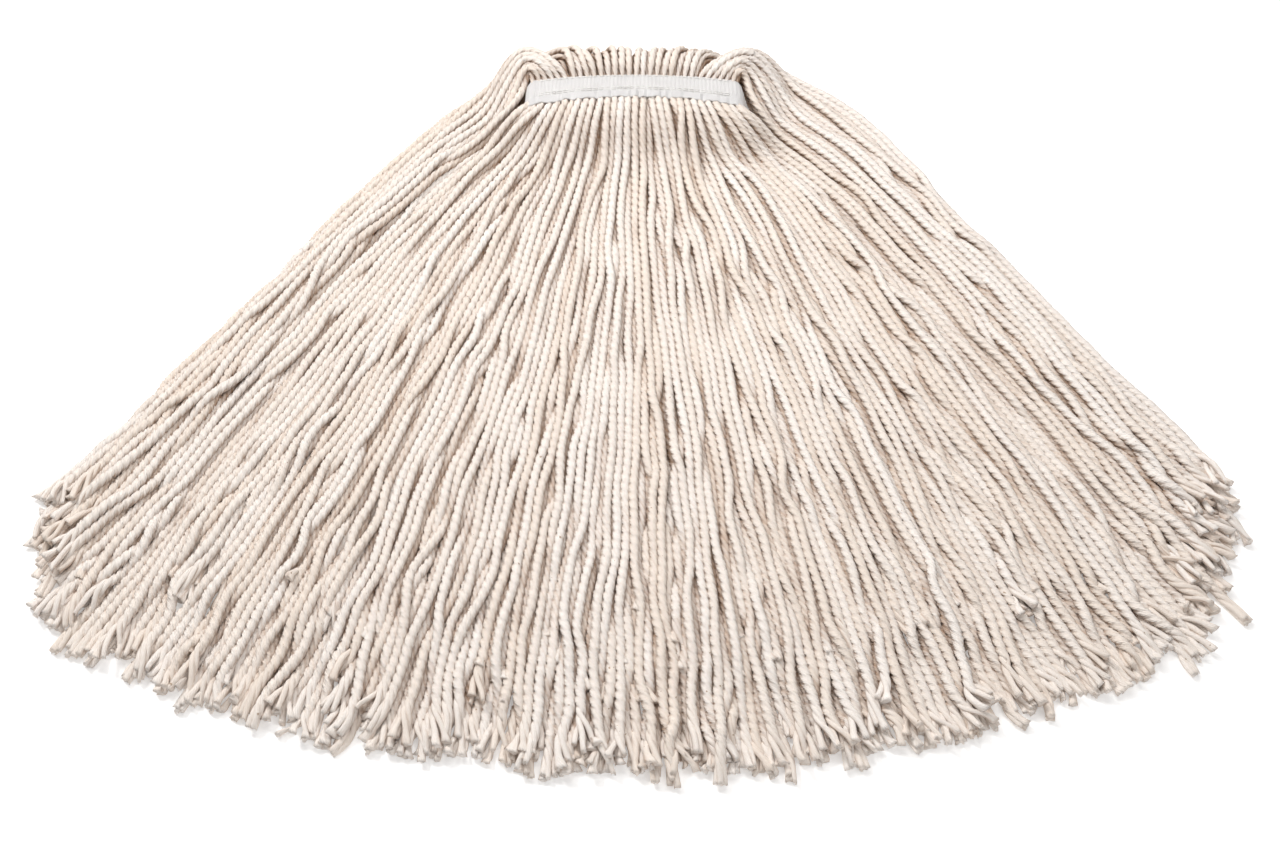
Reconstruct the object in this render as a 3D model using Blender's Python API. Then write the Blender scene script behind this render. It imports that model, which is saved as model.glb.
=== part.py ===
"""Cut-end cotton mop head lying fanned out on a floor.

A narrow woven headband is sewn round the middle of a thick row of cotton yarns.  The front half of
every yarn leaves the band's near edge and fans out towards -Y.  The back half leaves the far edge,
turns down behind the band and runs forward under it.  The yarns are held as twelve bundles a side.
Metres, +Z up, floor at z = 0.
"""

import math

import bpy

# Headband
BAND_LENGTH = 0.152
BAND_WIDTH = 0.0254
BAND_MID_Z = 0.0235
BAND_HALF_THICK = 0.0070
TAPE_THICK = 0.0011
TAPE_CORNER = 0.0032
FIT_GAP = 0.0003
LIP = 0.0025

# Yarn row
BUNDLES = 12
GROUP = 4
GROUP_GAP = 0.0020
PACKED_AREA = 0.00250
SINGLE_LAYER = 0.0050

# Front half of the yarns
FRONT_REACH = 0.490
FRONT_FAN = math.radians(36.5)
FRONT_BEND = 0.025
FRONT_SIDE_TRIM = 0.010

# Back half of the yarns
BACK_HALF_WIDTH = 0.104
BACK_REACH = 0.452
BACK_FAN = math.radians(36.5)
BACK_BEND = 0.015
BACK_SIDE_TRIM = 0.004

# Turn-down behind the band
CURL_Y = 0.030
CURL_RADIUS = 0.010
LOWER_AXIS_Z = 0.010
UPPER_AXIS_Z = 0.027
STUB_HALF_WIDTH = 0.092

# Stitching
STITCH_PITCH = 0.0042
STITCH_WIDTH = 0.0007
STITCH_HEIGHT = 0.0003
GROOVE_WIDTH = 0.0014
GROOVE_DEPTH = 0.0006
STITCH_ROWS = {"near_row": -0.0098, "inner_row": -0.0074, "far_row": 0.0088}

# Length stations shared by both halves, so that the layers keep an even gap
STATIONS = 10
STATION_POWER = 1.6
END_UNEVENNESS = 0.002
TIP_ROUNDING = ((0.020, 1.00), (0.008, 0.92), (0.0, 0.66))

NEAR_EDGE = -BAND_WIDTH / 2
FRONT_ROOT = NEAR_EDGE - LIP - FIT_GAP
BACK_ROOT = CURL_Y - CURL_RADIUS - FIT_GAP
LIFT_AXIS = (FRONT_ROOT + FIT_GAP / 2, BAND_MID_Z + BAND_HALF_THICK + 0.0005)
ROUND_END_STOP = 76
CHAMFER = (0, 90)

COTTON = (0.86, 0.80, 0.72, 1.0)
TAPE_WHITE = (0.83, 0.82, 0.82, 1.0)
THREAD_WHITE = (0.80, 0.79, 0.77, 1.0)


def clear_scene():
    for obj in list(bpy.data.objects):
        bpy.data.objects.remove(obj, do_unlink=True)


def new_material(name, colour, roughness):
    material = bpy.data.materials.new(name)
    material.use_nodes = True
    shader = material.node_tree.nodes["Principled BSDF"]
    shader.inputs["Base Color"].default_value = colour
    shader.inputs["Roughness"].default_value = roughness
    return material


def add_object(name, verts, faces, colour, pivot=(0.0, 0.0)):
    """Builds one node.  pivot is the (y, z) of its body's joint axis in band coordinates."""
    origin = (0.0, pivot[0] + band_offset(), pivot[1])
    local = [(x, y - pivot[0], z - pivot[1]) for x, y, z in verts]
    mesh = bpy.data.meshes.new(name)
    mesh.from_pydata(local, [], faces)
    mesh.validate()
    obj = bpy.data.objects.new(name, mesh)
    obj.location = origin
    obj.data.materials.append(new_material(name, colour, 0.9))
    bpy.context.scene.collection.objects.link(obj)
    return obj


def rounded_ring(y, left, right, bottom, top, radius, steps=(0, 45, 90)):
    """Points round a box section in the XZ plane, anticlockwise as seen from -Y."""
    radius = min(radius, 0.42 * (right - left), 0.42 * (top - bottom))
    centres = (
        (right - radius, bottom + radius, -90),
        (right - radius, top - radius, 0),
        (left + radius, top - radius, 90),
        (left + radius, bottom + radius, 180),
    )
    ring = []
    for cx, cz, start in centres:
        for step in steps:
            angle = math.radians(start + step)
            ring.append((cx + radius * math.cos(angle), y, cz + radius * math.sin(angle)))
    return ring


def loft(rings):
    """Closed solid through rings of equal size that run from +Y to -Y."""
    size = len(rings[0])
    verts = [point for ring in rings for point in ring]
    faces = [tuple(range(size - 1, -1, -1))]
    for row in range(len(rings) - 1):
        for k in range(size):
            a = row * size + k
            b = row * size + (k + 1) % size
            faces.append((a, b, b + size, a + size))
    last = (len(rings) - 1) * size
    faces.append(tuple(range(last, last + size)))
    return verts, faces


def smoothstep(value):
    value = min(max(value, 0.0), 1.0)
    return value * value * (3 - 2 * value)


def fan_x(half_width, fan, bend, u, distance):
    """X of a bundle edge: it leaves square to the band, then bends out to its fan angle."""
    return half_width * u + math.tan(fan * u) * (math.hypot(distance, bend) - bend)


def layer(half_width, fan, distance):
    """Thickness of a row of yarns that thins as it fans out."""
    width = 2 * (half_width + math.tan(fan) * max(distance, 0.0))
    return math.hypot(PACKED_AREA / width, SINGLE_LAYER)


def back_top(y):
    return layer(BACK_HALF_WIDTH, BACK_FAN, BACK_ROOT - y)


def front_bottom(y):
    distance = FRONT_ROOT - y
    root_z = BAND_MID_Z - BAND_HALF_THICK
    rise = (root_z - back_top(FRONT_ROOT) - FIT_GAP) * math.exp(-distance / 0.010)
    droop = smoothstep((BACK_ROOT - BACK_REACH - 0.006 - y) / 0.045)
    return (back_top(y) + FIT_GAP + rise) * (1 - 0.94 * droop)


def front_top(y):
    distance = FRONT_ROOT - y
    rise = (BAND_MID_Z - BAND_HALF_THICK - back_top(FRONT_ROOT) - FIT_GAP) * math.exp(-distance / 0.010)
    return front_bottom(y) - rise + layer(BAND_LENGTH / 2, FRONT_FAN, distance)


def stations():
    steps = [(k / STATIONS) ** STATION_POWER for k in range(STATIONS + 1)]
    front = [FRONT_ROOT - FRONT_REACH * step for step in steps]
    return [BACK_ROOT, 0.008, -0.004] + front


def sampled(function, y):
    """The function at y, read off the straight lines between the shared stations."""
    marks = stations()
    for near, far in zip(marks, marks[1:]):
        if far <= y <= near:
            part = (near - y) / (near - far)
            return function(near) * (1 - part) + function(far) * part
    return function(y)


def bundle(root_y, end_y, left_edge, right_edge, bottom, top):
    """One fanned bundle from root_y to its cut end at end_y."""
    marks = [y for y in stations() if root_y >= y > end_y + TIP_ROUNDING[0][0] + 0.004]
    cuts = [(y, 1.0) for y in marks] + [(end_y + back, keep) for back, keep in TIP_ROUNDING]
    rings = []
    for y, keep in cuts:
        left = sampled(left_edge, y)
        right = sampled(right_edge, y)
        low = sampled(bottom, y)
        high = sampled(top, y)
        middle = (left + right) / 2
        half = (right - left) / 2 * (0.5 + 0.5 * keep)
        high = low + (high - low) * keep
        rings.append(rounded_ring(y, middle - half, middle + half, low, high, 0.0030))
    return loft(rings)


def edges(index, half_width, fan, bend, root_y, grouped):
    """Left and right edge functions of a bundle, with the gap to its neighbours taken off."""
    left_gap = right_gap = FIT_GAP / 2
    if grouped and index % GROUP == 0:
        left_gap = GROUP_GAP / 2
    if grouped and index % GROUP == GROUP - 1:
        right_gap = GROUP_GAP / 2
    u_left = 2 * index / BUNDLES - 1
    u_right = 2 * (index + 1) / BUNDLES - 1

    def left(y):
        return fan_x(half_width, fan, bend, u_left, root_y - y) + left_gap

    def right(y):
        return fan_x(half_width, fan, bend, u_right, root_y - y) - right_gap

    return left, right


def bundle_end(index, root_y, reach, fan, side_trim):
    """Y of a bundle's cut end: the reach, a little uneven, turned through the bundle's fan angle."""
    u = (2 * index + 1) / BUNDLES - 1
    pair = min(index, BUNDLES - 1 - index)
    uneven = END_UNEVENNESS * (1 - math.cos(2.1 * pair))
    return root_y - (reach - side_trim * abs(u) - uneven) * math.cos(fan * u)


def band_offset():
    """Distance the band lies behind the middle of the whole footprint."""
    ends = [bundle_end(k, FRONT_ROOT, FRONT_REACH, FRONT_FAN, FRONT_SIDE_TRIM) for k in range(BUNDLES)]
    back_end = CURL_Y + CURL_RADIUS * math.sin(math.radians(ROUND_END_STOP))
    return -(min(ends) + back_end) / 2


def build_front():
    for index in range(BUNDLES):
        left, right = edges(index, BAND_LENGTH / 2, FRONT_FAN, FRONT_BEND, FRONT_ROOT, True)
        end_y = bundle_end(index, FRONT_ROOT, FRONT_REACH, FRONT_FAN, FRONT_SIDE_TRIM)
        verts, faces = bundle(FRONT_ROOT, end_y, left, right, front_bottom, front_top)
        add_object(f"front_bundle_{index + 1:02d}", verts, faces, COTTON, LIFT_AXIS)


def build_back():
    for index in range(BUNDLES):
        left, right = edges(index, BACK_HALF_WIDTH, BACK_FAN, BACK_BEND, BACK_ROOT, False)
        end_y = bundle_end(index, BACK_ROOT, BACK_REACH, BACK_FAN, BACK_SIDE_TRIM)
        verts, faces = bundle(BACK_ROOT, end_y, left, right, lambda y: 0.0, back_top)
        add_object(f"back_bundle_{index + 1:02d}", verts, faces, COTTON)


def row_edges(index, half_width):
    left = half_width * (2 * index / BUNDLES - 1) + FIT_GAP / 2
    right = half_width * (2 * (index + 1) / BUNDLES - 1) - FIT_GAP / 2
    return left, right


def curl_solid(index):
    """Half-round lower turn: flat on top, with its round end about the lower fold axis."""
    flat_top = UPPER_AXIS_Z - CURL_RADIUS - FIT_GAP
    left, right = row_edges(index, BACK_HALF_WIDTH)
    rings = []
    for degrees in (ROUND_END_STOP, 50, 25, 0, -25, -50, -ROUND_END_STOP):
        angle = math.radians(degrees)
        y = CURL_Y + CURL_RADIUS * math.sin(angle)
        low = LOWER_AXIS_Z - CURL_RADIUS * math.cos(angle)
        rings.append(rounded_ring(y, left, right, low, flat_top, 0.0020, CHAMFER))
    return loft(rings)


def core_solid(index):
    """Yarns squeezed inside the tape, a lip at the near edge and a swelling at the far edge."""
    core_half = BAND_HALF_THICK - TAPE_THICK - FIT_GAP
    core_width = BAND_LENGTH / 2 - TAPE_THICK - FIT_GAP / 2
    rings = []
    for degrees in (ROUND_END_STOP, 50, 25, 0):
        angle = math.radians(degrees)
        y = CURL_Y + CURL_RADIUS * math.sin(angle)
        half = CURL_RADIUS * math.cos(angle)
        left, right = row_edges(index, STUB_HALF_WIDTH)
        low = UPPER_AXIS_Z - half
        rings.append(rounded_ring(y, left, right, low, low + 2 * half, 0.0025, CHAMFER))
    for step in (0.35, 0.7, 1.0):
        ease = smoothstep(step)
        y = CURL_Y + (BAND_WIDTH / 2 + 0.0008 - CURL_Y) * step
        half = CURL_RADIUS + (core_half - CURL_RADIUS) * ease
        middle = UPPER_AXIS_Z + (BAND_MID_Z - UPPER_AXIS_Z) * ease
        left, right = row_edges(index, STUB_HALF_WIDTH + (core_width - STUB_HALF_WIDTH) * ease)
        rings.append(rounded_ring(y, left, right, middle - half, middle + half, 0.0025, CHAMFER))
    left, right = row_edges(index, core_width)
    for y in (NEAR_EDGE - 0.0005, NEAR_EDGE - LIP):
        low = BAND_MID_Z - core_half
        rings.append(rounded_ring(y, left, right, low, low + 2 * core_half, 0.0025, CHAMFER))
    return loft(rings)


def build_band_yarns():
    for index in range(BUNDLES):
        verts, faces = core_solid(index)
        add_object(f"band_yarns_{index + 1:02d}", verts, faces, COTTON, (CURL_Y, UPPER_AXIS_Z))
        verts, faces = curl_solid(index)
        add_object(f"curl_yarns_{index + 1:02d}", verts, faces, COTTON, (CURL_Y, LOWER_AXIS_Z))


def tape_path(inset):
    """Loop in the XZ plane from the butt joint under the band's middle, round, and back to it."""
    half_length = BAND_LENGTH / 2 - inset
    half_height = BAND_HALF_THICK - inset
    radius = TAPE_CORNER - inset
    points = [(FIT_GAP / 2, BAND_MID_Z - half_height)]
    corners = ((1, -1, -90), (1, 1, 0), (-1, 1, 90), (-1, -1, 180))
    for side_x, side_z, start in corners:
        cx = side_x * (half_length - radius)
        cz = BAND_MID_Z + side_z * (half_height - radius)
        for step in (0, 30, 60, 90):
            angle = math.radians(start + step)
            points.append((cx + radius * math.cos(angle), cz + radius * math.sin(angle)))
    points.append((-FIT_GAP / 2, BAND_MID_Z - half_height))
    return points


def tape_section(outer, inner):
    """Section of the tape at one point of its loop, with a groove where each stitch row pulls it in."""
    floor = tuple(o + (i - o) * GROOVE_DEPTH / TAPE_THICK for o, i in zip(outer, inner))
    profile = [(-BAND_WIDTH / 2, outer)]
    for y in sorted(STITCH_ROWS.values()):
        profile.append((y - GROOVE_WIDTH / 2, outer))
        profile.append((y - GROOVE_WIDTH / 2, floor))
        profile.append((y + GROOVE_WIDTH / 2, floor))
        profile.append((y + GROOVE_WIDTH / 2, outer))
    profile.extend(((BAND_WIDTH / 2, outer), (BAND_WIDTH / 2, inner), (-BAND_WIDTH / 2, inner)))
    return [(x, y, z) for y, (x, z) in profile]


def build_tape():
    rings = [tape_section(outer, inner) for outer, inner in zip(tape_path(0.0), tape_path(TAPE_THICK))]
    verts, faces = loft(rings)
    add_object("headband_tape", verts, faces, TAPE_WHITE, (CURL_Y, UPPER_AXIS_Z))


def thread_solid(y, base_z, outward):
    """One thread of a stitch row: it rises over each stitch and dips at each needle hole."""
    steps = 2 * int((BAND_LENGTH - 0.010) / STITCH_PITCH)
    rings = []
    for k in range(steps + 1):
        x = (k - steps / 2) * STITCH_PITCH / 2
        height = STITCH_HEIGHT if k % 2 else 0.4 * STITCH_HEIGHT
        low, high = sorted((base_z, base_z + outward * height))
        near = y - STITCH_WIDTH / 2
        far = y + STITCH_WIDTH / 2
        rings.append([(x, near, low), (x, far, low), (x, far, high), (x, near, high)])
    return loft(rings)


def build_stitches():
    for name, y in STITCH_ROWS.items():
        for side, outward in (("needle", 1), ("bobbin", -1)):
            base_z = BAND_MID_Z + outward * (BAND_HALF_THICK - GROOVE_DEPTH + FIT_GAP / 2)
            verts, faces = thread_solid(y, base_z, outward)
            add_object(f"{name}_{side}_thread", verts, faces, THREAD_WHITE, (CURL_Y, UPPER_AXIS_Z))


clear_scene()
build_back()
build_front()
build_band_yarns()
build_tape()
build_stitches()
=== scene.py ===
"""Looks of a cut-end cotton mop head lying fanned out on a pale floor.

About 180 twisted cotton yarns pass through a narrow woven headband.  Their front halves fan out
towards the camera.  Their back halves turn over behind the band: the middle ones run forward under
it, and the outer ones come round its ends as two side wings.  The pile of yarns is settled under its
own weight, then every yarn gets its four twisted plies and its frayed cut end.
"""

import math

import bpy
import numpy as np
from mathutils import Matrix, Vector


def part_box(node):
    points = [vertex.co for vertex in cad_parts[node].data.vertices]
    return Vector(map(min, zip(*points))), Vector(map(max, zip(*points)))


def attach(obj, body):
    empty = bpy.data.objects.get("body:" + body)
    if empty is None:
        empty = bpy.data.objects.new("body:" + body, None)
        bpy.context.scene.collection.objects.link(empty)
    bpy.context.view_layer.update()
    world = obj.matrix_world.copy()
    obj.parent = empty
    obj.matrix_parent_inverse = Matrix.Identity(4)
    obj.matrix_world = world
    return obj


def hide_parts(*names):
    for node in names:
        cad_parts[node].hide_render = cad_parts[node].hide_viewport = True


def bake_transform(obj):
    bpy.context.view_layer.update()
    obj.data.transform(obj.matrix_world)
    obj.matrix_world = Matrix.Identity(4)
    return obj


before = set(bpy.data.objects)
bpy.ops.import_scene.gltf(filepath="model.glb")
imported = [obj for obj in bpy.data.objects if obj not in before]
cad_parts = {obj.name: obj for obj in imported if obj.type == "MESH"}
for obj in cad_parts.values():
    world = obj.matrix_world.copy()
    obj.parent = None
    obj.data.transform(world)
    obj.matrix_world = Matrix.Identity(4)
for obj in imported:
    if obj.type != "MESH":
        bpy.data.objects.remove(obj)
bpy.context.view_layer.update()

rng = np.random.default_rng(24)

# Band frame: origin under the middle of the headband, on the floor
TAPE_LO, TAPE_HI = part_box("headband_tape")
FRONT_ROOT = 0.0155  # from the band's middle to where the front bundles start
BAND_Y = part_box("front_bundle_06")[1].y + FRONT_ROOT
BAND_MID_Z = (TAPE_LO.z + TAPE_HI.z) / 2
BAND_HALF_LENGTH = (TAPE_HI.x - TAPE_LO.x) / 2
BAND_HALF_WIDTH = 0.0127
TAPE_HALF_THICK = (TAPE_HI.z - TAPE_LO.z) / 2

# Yarns
COLUMNS = 30
ROWS = 6
YARN_RADIUS = 0.00275
LAY = 0.024  # length of one full twist
FRONT_LENGTH = 0.480  # from the band's near edge to the cut end
BACK_LENGTH = 0.505  # from the band's far edge to the cut end
HALF_SPREAD = 0.073  # half the width that the yarns fill inside the band
UNDER_SPREAD = 0.078  # half the width of the back yarns as they run forward under the band
SAMPLES = 240  # points of a yarn as it is laid
NODES = 121  # points of a yarn while it settles
RINGS = 236  # rings of a finished yarn
BUNDLES = 12
YARNS_A_BUNDLE = COLUMNS * ROWS // BUNDLES
CORDS_A_BUNDLE = 3


def wing_columns(row):
    """How many yarns at each end of a row come round the band's end instead of under it."""
    return 6 - row // 2


def smooth(x):
    x = np.clip(x, 0.0, 1.0)
    return x * x * (3 - 2 * x)


def band_warp(points):
    """Tilts the band's near edge up, and bows and arches its middle back and up."""
    points = np.array(points, dtype=float)
    across = (points[..., 0] / BAND_HALF_LENGTH) ** 2
    tilt = np.radians(17 - 5 * across)
    y = points[..., 1].copy()
    z = points[..., 2] - BAND_MID_Z
    points[..., 1] = y * np.cos(tilt) + z * np.sin(tilt) + 0.0050 * (1 - across) + 0.0005
    points[..., 2] = BAND_MID_Z + z * np.cos(tilt) - y * np.sin(tilt) + 0.0025 * (1 - across)
    return points


def wander(distance, amount):
    """A slow random sideways drift along a yarn, as a sum of three sines."""
    drift = np.zeros_like(distance)
    for low, high, share in ((0.20, 0.40, 1.0), (0.09, 0.16, 0.45), (0.035, 0.06, 0.16)):
        wavelength = rng.uniform(low, high)
        drift += share * np.sin(2 * math.pi * distance / wavelength + rng.uniform(0, 6.3))
    return amount * drift


def fluff(along, length):
    """Yarns loosen and thicken towards their cut ends."""
    return 1 + 0.15 * smooth(1 - (length - along) / 0.12)


def resample(points, count):
    """Spaces a polyline's points evenly along its length."""
    steps = np.linalg.norm(np.diff(points, axis=0), axis=1)
    along = np.concatenate([[0], np.cumsum(steps)])
    wanted = np.linspace(0, along[-1], count)
    return np.stack([np.interp(wanted, along, points[:, k]) for k in range(3)], axis=1)


def pile(distance, low, high):
    """Height in the pile at a distance from the band, between two shares of the loose stack."""
    width = 0.152 + 1.25 * distance
    squeeze = 0.62 + 0.38 * smooth(distance / 0.11)
    layer = 0.0046 * squeeze
    return YARN_RADIUS + layer * 0.0053 / width * (low + high)


def place_in_band(column, row):
    """Sideways place of a yarn in the band, from -1 to 1.  The rows are staggered."""
    return (column + 0.5 + (0.25 if row % 2 else -0.25)) / COLUMNS * 2 - 1


def height_in_band(row):
    return BAND_MID_Z + 0.0036 - 0.0015 * row


class Yarn:
    """One half of a yarn: its path from the middle of the band, its radius and where it belongs.

    order sorts the yarns from left to right.  The nodes before free_from are held by the band.
    """

    def __init__(self, path, radius, side, order, free_from):
        self.path = resample(path, NODES)
        self.length = np.linalg.norm(np.diff(path, axis=0), axis=1).sum()
        self.radius = np.interp(np.linspace(0, 1, NODES), np.linspace(0, 1, len(radius)), radius)
        self.side = side
        self.order = order
        self.free_from = free_from


def front_yarn(column, row):
    """A front yarn: over the band's near edge, down to the pile and forward in the fan."""
    place = place_in_band(column, row)
    fan = (column + (row * 0.382 + 0.3) % 1) / COLUMNS * 2 - 1 + rng.normal(0, 0.012)
    start = (place * HALF_SPREAD + rng.normal(0, 0.0006), height_in_band(row))
    length = BAND_HALF_WIDTH + FRONT_LENGTH + rng.normal(0, 0.0055)
    length -= 0.03 * (rng.random() < 0.08) * rng.random()  # a few are cut short
    s = np.linspace(0, length, SAMPLES)
    free = np.clip(s - 0.013, 0, None)
    # The outermost yarns leave the band more sideways, then bend back into the fan
    corner = math.copysign(abs(fan) ** 4, fan) * (1.0 if row < 3 else 0.6)
    angle = np.radians(32.5) * fan + np.radians(46) * corner * np.exp(-free / 0.050)
    angle += rng.normal(0, 0.10) * np.exp(-((free / 0.05) ** 2))
    angle = angle * smooth((s - 0.010) / 0.012)
    angle += rng.normal(0, 0.008) * smooth(free / 0.2)
    step = length / (SAMPLES - 1)
    x = start[0] + np.concatenate([[0], np.cumsum(np.sin(angle[:-1]) * step)])
    y = -np.concatenate([[0], np.cumsum(np.cos(angle[:-1]) * step)])
    loose = 0.0009 + 0.0013 * smooth(free / 0.3) + 0.0024 * smooth((free - 0.38) / 0.1)
    drift = wander(s, 1.0) * loose
    x = x + drift * smooth(free / 0.03) * np.cos(angle)
    y = y + drift * smooth(free / 0.03) * np.sin(angle)
    share = (ROWS - row - 0.5) / ROWS
    z = pile(free, 120, 180 * share * 1.05)
    fall = smooth(free / 0.070)
    line = np.stack([x, y, np.full_like(x, start[1])], axis=1)
    line = band_warp(line) * (1 - fall[:, None]) + np.stack([x, y, z], axis=1) * fall[:, None]
    # Squeezed thin in the band, and more so in the lower rows
    base = (0.90, 0.74, 0.62, 0.62, 0.62, 0.62)[row]
    radius = YARN_RADIUS * (base + (1 - base) * smooth(free / (0.05 if row < 2 else 0.11)))
    radius *= (0.60 + 0.40 * smooth((free + 0.003) / 0.009)) * fluff(s, length)
    return Yarn(line, radius, "front", fan, 4)


def inside_band(place, row):
    """The first points of a back yarn, from the band's middle to just past its far edge."""
    z = height_in_band(row)
    return [band_warp((place * HALF_SPREAD, y, z)) for y in (0, 0.005, 0.010, 0.0135)]


def under_yarn(column, row):
    """A middle back yarn: over the far edge, down behind the band and forward under it."""
    place = place_in_band(column, row)
    reach = 1 - 2 * wing_columns(row) / COLUMNS
    spread = place / reach
    length = BAND_HALF_WIDTH + BACK_LENGTH + rng.normal(0, 0.006)
    low = YARN_RADIUS + 0.0024 * row
    loop = inside_band(place, row)
    # The turn-down: from band_x at the far edge to floor_x under the band, by way of sweep
    band_x = HALF_SPREAD * place
    floor_x = UNDER_SPREAD * spread
    back = 0.0455 - 0.0016 * row + rng.normal(0, 0.0020)
    high = loop[-1][2] + 0.0075 - 0.0013 * row + rng.normal(0, 0.0010)
    sweep = band_x + (floor_x - band_x) * 0.45 + rng.normal(0, 0.0032)
    loop.append(np.array([band_x * 0.9 + sweep * 0.1, 0.022, high - 0.001]))
    loop.append(np.array([band_x * 0.6 + sweep * 0.4, back * 0.5 + 0.0155, high * 0.99 + low * 0.01]))
    loop.append(np.array([sweep, back - 0.001, high * 0.68 + low * 0.32]))
    loop.append(np.array([floor_x * 0.7 + sweep * 0.3, back, high * 0.42 + low * 0.58]))
    loop.append(np.array([floor_x * 0.8 + sweep * 0.2, back - 0.005, high * 0.17 + low * 0.83]))
    loop.append(np.array([floor_x * 0.92 + sweep * 0.08, 0.0250, low]))
    fan = spread * 0.97 + rng.normal(0, 0.02)
    used = np.linalg.norm(np.diff(np.array(loop), axis=0), axis=1).sum()
    s = np.linspace(0, length - used, 200)[1:]
    ahead = np.clip(s - 0.030, 0, None)
    angle = np.radians(33) * fan * smooth(ahead / 0.05)
    step = s[1] - s[0]
    x = loop[-1][0] + np.cumsum(np.sin(angle) * step)
    y = loop[-1][1] - np.cumsum(np.cos(angle) * step)
    x += wander(s, 1.0) * 0.0030 * smooth(ahead / 0.25)
    distance = np.clip(-y - BAND_HALF_WIDTH, 0, None)
    rise = smooth(distance / 0.06)
    z = low * (1 - rise) + pile(distance, 0, 120 * (row + 0.5) / ROWS) * rise
    line = resample(np.concatenate([np.array(loop), np.stack([x, y, z], axis=1)]), SAMPLES)
    along = np.linspace(0, length, SAMPLES)
    near = 0.86 if row == 0 else 0.64
    radius = YARN_RADIUS * (near + (1 - near) * smooth((along - 0.13) / 0.10))
    radius *= (0.60 + 0.40 * smooth((along - 0.012) / 0.012)) * fluff(along, length)
    return Yarn(line, radius, "back", spread * 0.7, int(NODES * 0.22))


def wing_yarn(column, row):
    """An outer back yarn: over the far edge and round the band's end to lie beside the fan."""
    place = place_in_band(column, row)
    side = math.copysign(1, place)
    share = 2 * wing_columns(row) / COLUMNS
    inner = (abs(place) - (1 - share)) / share
    # The yarn nearest the band's middle goes round the outside of the wing
    out = np.clip(1 - inner + 0.25 * ((row * 0.382) % 1 - 0.5) + rng.normal(0, 0.04), 0, 1.1)
    length = BAND_HALF_WIDTH + BACK_LENGTH + rng.normal(0, 0.006)
    height = 0.0050 + 0.0034 * (ROWS - 1 - row)
    points = inside_band(place, row)
    top = points[-1][2]
    band_x = place * HALF_SPREAD
    # How much further the outermost yarn swings out than the innermost, at four places on the way
    swing = (0.012, 0.0125, 0.030, 0.034) if side < 0 else (0.020, 0.034, 0.058, 0.066)
    reach = [side * (x + more * out) for x, more in zip((0.0725, 0.0785, 0.0815, 0.0900), swing)]
    points.append(np.array([band_x * 0.75 + reach[0] * 0.25, 0.0190 + 0.0065 * out, top + 0.004]))
    points.append(np.array([band_x * 0.3 + reach[0] * 0.7, 0.0240 + 0.0165 * out, top + 0.005]))
    points.append(np.array([reach[0], 0.0260 + 0.020 * out, (top + 0.004) * 0.9 + height * 0.1]))
    points.append(np.array([reach[1], 0.020 + 0.016 * out, top * 0.75 + height * 0.25]))
    points.append(np.array([reach[2], 0.007 + 0.004 * out, top * 0.3 + height * 0.7]))
    points.append(np.array([reach[3], -0.008, height]))
    used = np.linalg.norm(np.diff(np.array(points), axis=0), axis=1).sum()
    s = np.linspace(0, length - used, 200)[1:]
    last = (33.2 if side < 0 else 31.8) - 4.5 * (1 - out) * smooth((s - 0.05) / 0.25)
    turn_in = 26 * (1.1 - out) * np.exp(-s / 0.055)
    angle = side * np.radians(last + turn_in + rng.normal(0, 0.6) + 1.5 * smooth(s / 0.25))
    step = s[1] - s[0]
    x = points[-1][0] + np.cumsum(np.sin(angle) * step)
    y = points[-1][1] - np.cumsum(np.cos(angle) * step)
    drift = wander(s, 1.0) * (0.0006 + 0.0022 * smooth(s / 0.3))
    x += drift * np.cos(angle)
    y += drift * np.sin(angle)
    z = height * (1 - 0.45 * smooth(s / 0.3))
    line = resample(np.concatenate([np.array(points), np.stack([x, y, z], axis=1)]), SAMPLES)
    along = np.linspace(0, length, SAMPLES)
    near = 0.90 if row < 2 else 0.72
    radius = YARN_RADIUS * (near + (1 - near) * smooth((along - 0.05) / 0.10))
    radius *= (0.60 + 0.40 * smooth((along - 0.012) / 0.012)) * fluff(along, length)
    return Yarn(line, radius, "back", side * (0.75 + 0.2 * out), int(NODES * 0.10))


def lay_yarns():
    """All 360 half-yarns, row by row."""
    yarns = []
    for row in range(ROWS):
        for column in range(COLUMNS):
            yarns.append(front_yarn(column, row))
            if wing_columns(row) <= column < COLUMNS - wing_columns(row):
                yarns.append(under_yarn(column, row))
            else:
                yarns.append(wing_yarn(column, row))
    return yarns


def near_pairs(points, reach, strand, index):
    """Pairs of points closer than reach that aren't neighbours on one yarn, by sorting into cells."""
    cell = np.floor((points - points.min(axis=0)) / reach).astype(np.int64) + 1
    size = cell.max(axis=0) + 2
    key = (cell[:, 0] * size[1] + cell[:, 1]) * size[2] + cell[:, 2]
    order = np.argsort(key, kind="stable")
    key = key[order]
    spot = np.arange(len(key))
    firsts, seconds = [], []
    around = (-1, 0, 1)
    offsets = [(a, b, c) for a in (0, 1) for b in around for c in around if (a, b, c) >= (0, 0, 0)]
    for a, b, c in offsets:
        other = key + (a * size[1] + b) * size[2] + c
        low = np.searchsorted(key, other, "left")
        high = np.searchsorted(key, other, "right")
        if (a, b, c) == (0, 0, 0):
            low = spot + 1
        counts = np.clip(high - low, 0, None)
        first = np.repeat(spot, counts)
        inside = np.arange(counts.sum()) - np.repeat(np.cumsum(counts) - counts, counts)
        firsts.append(order[first])
        seconds.append(order[low[first] + inside])
    first = np.concatenate(firsts)
    second = np.concatenate(seconds)
    gap = points[first] - points[second]
    keep = np.einsum("ij,ij->i", gap, gap) < reach * reach
    keep &= (strand[first] != strand[second]) | (abs(index[first] - index[second]) > 6)
    return first[keep], second[keep]


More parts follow.
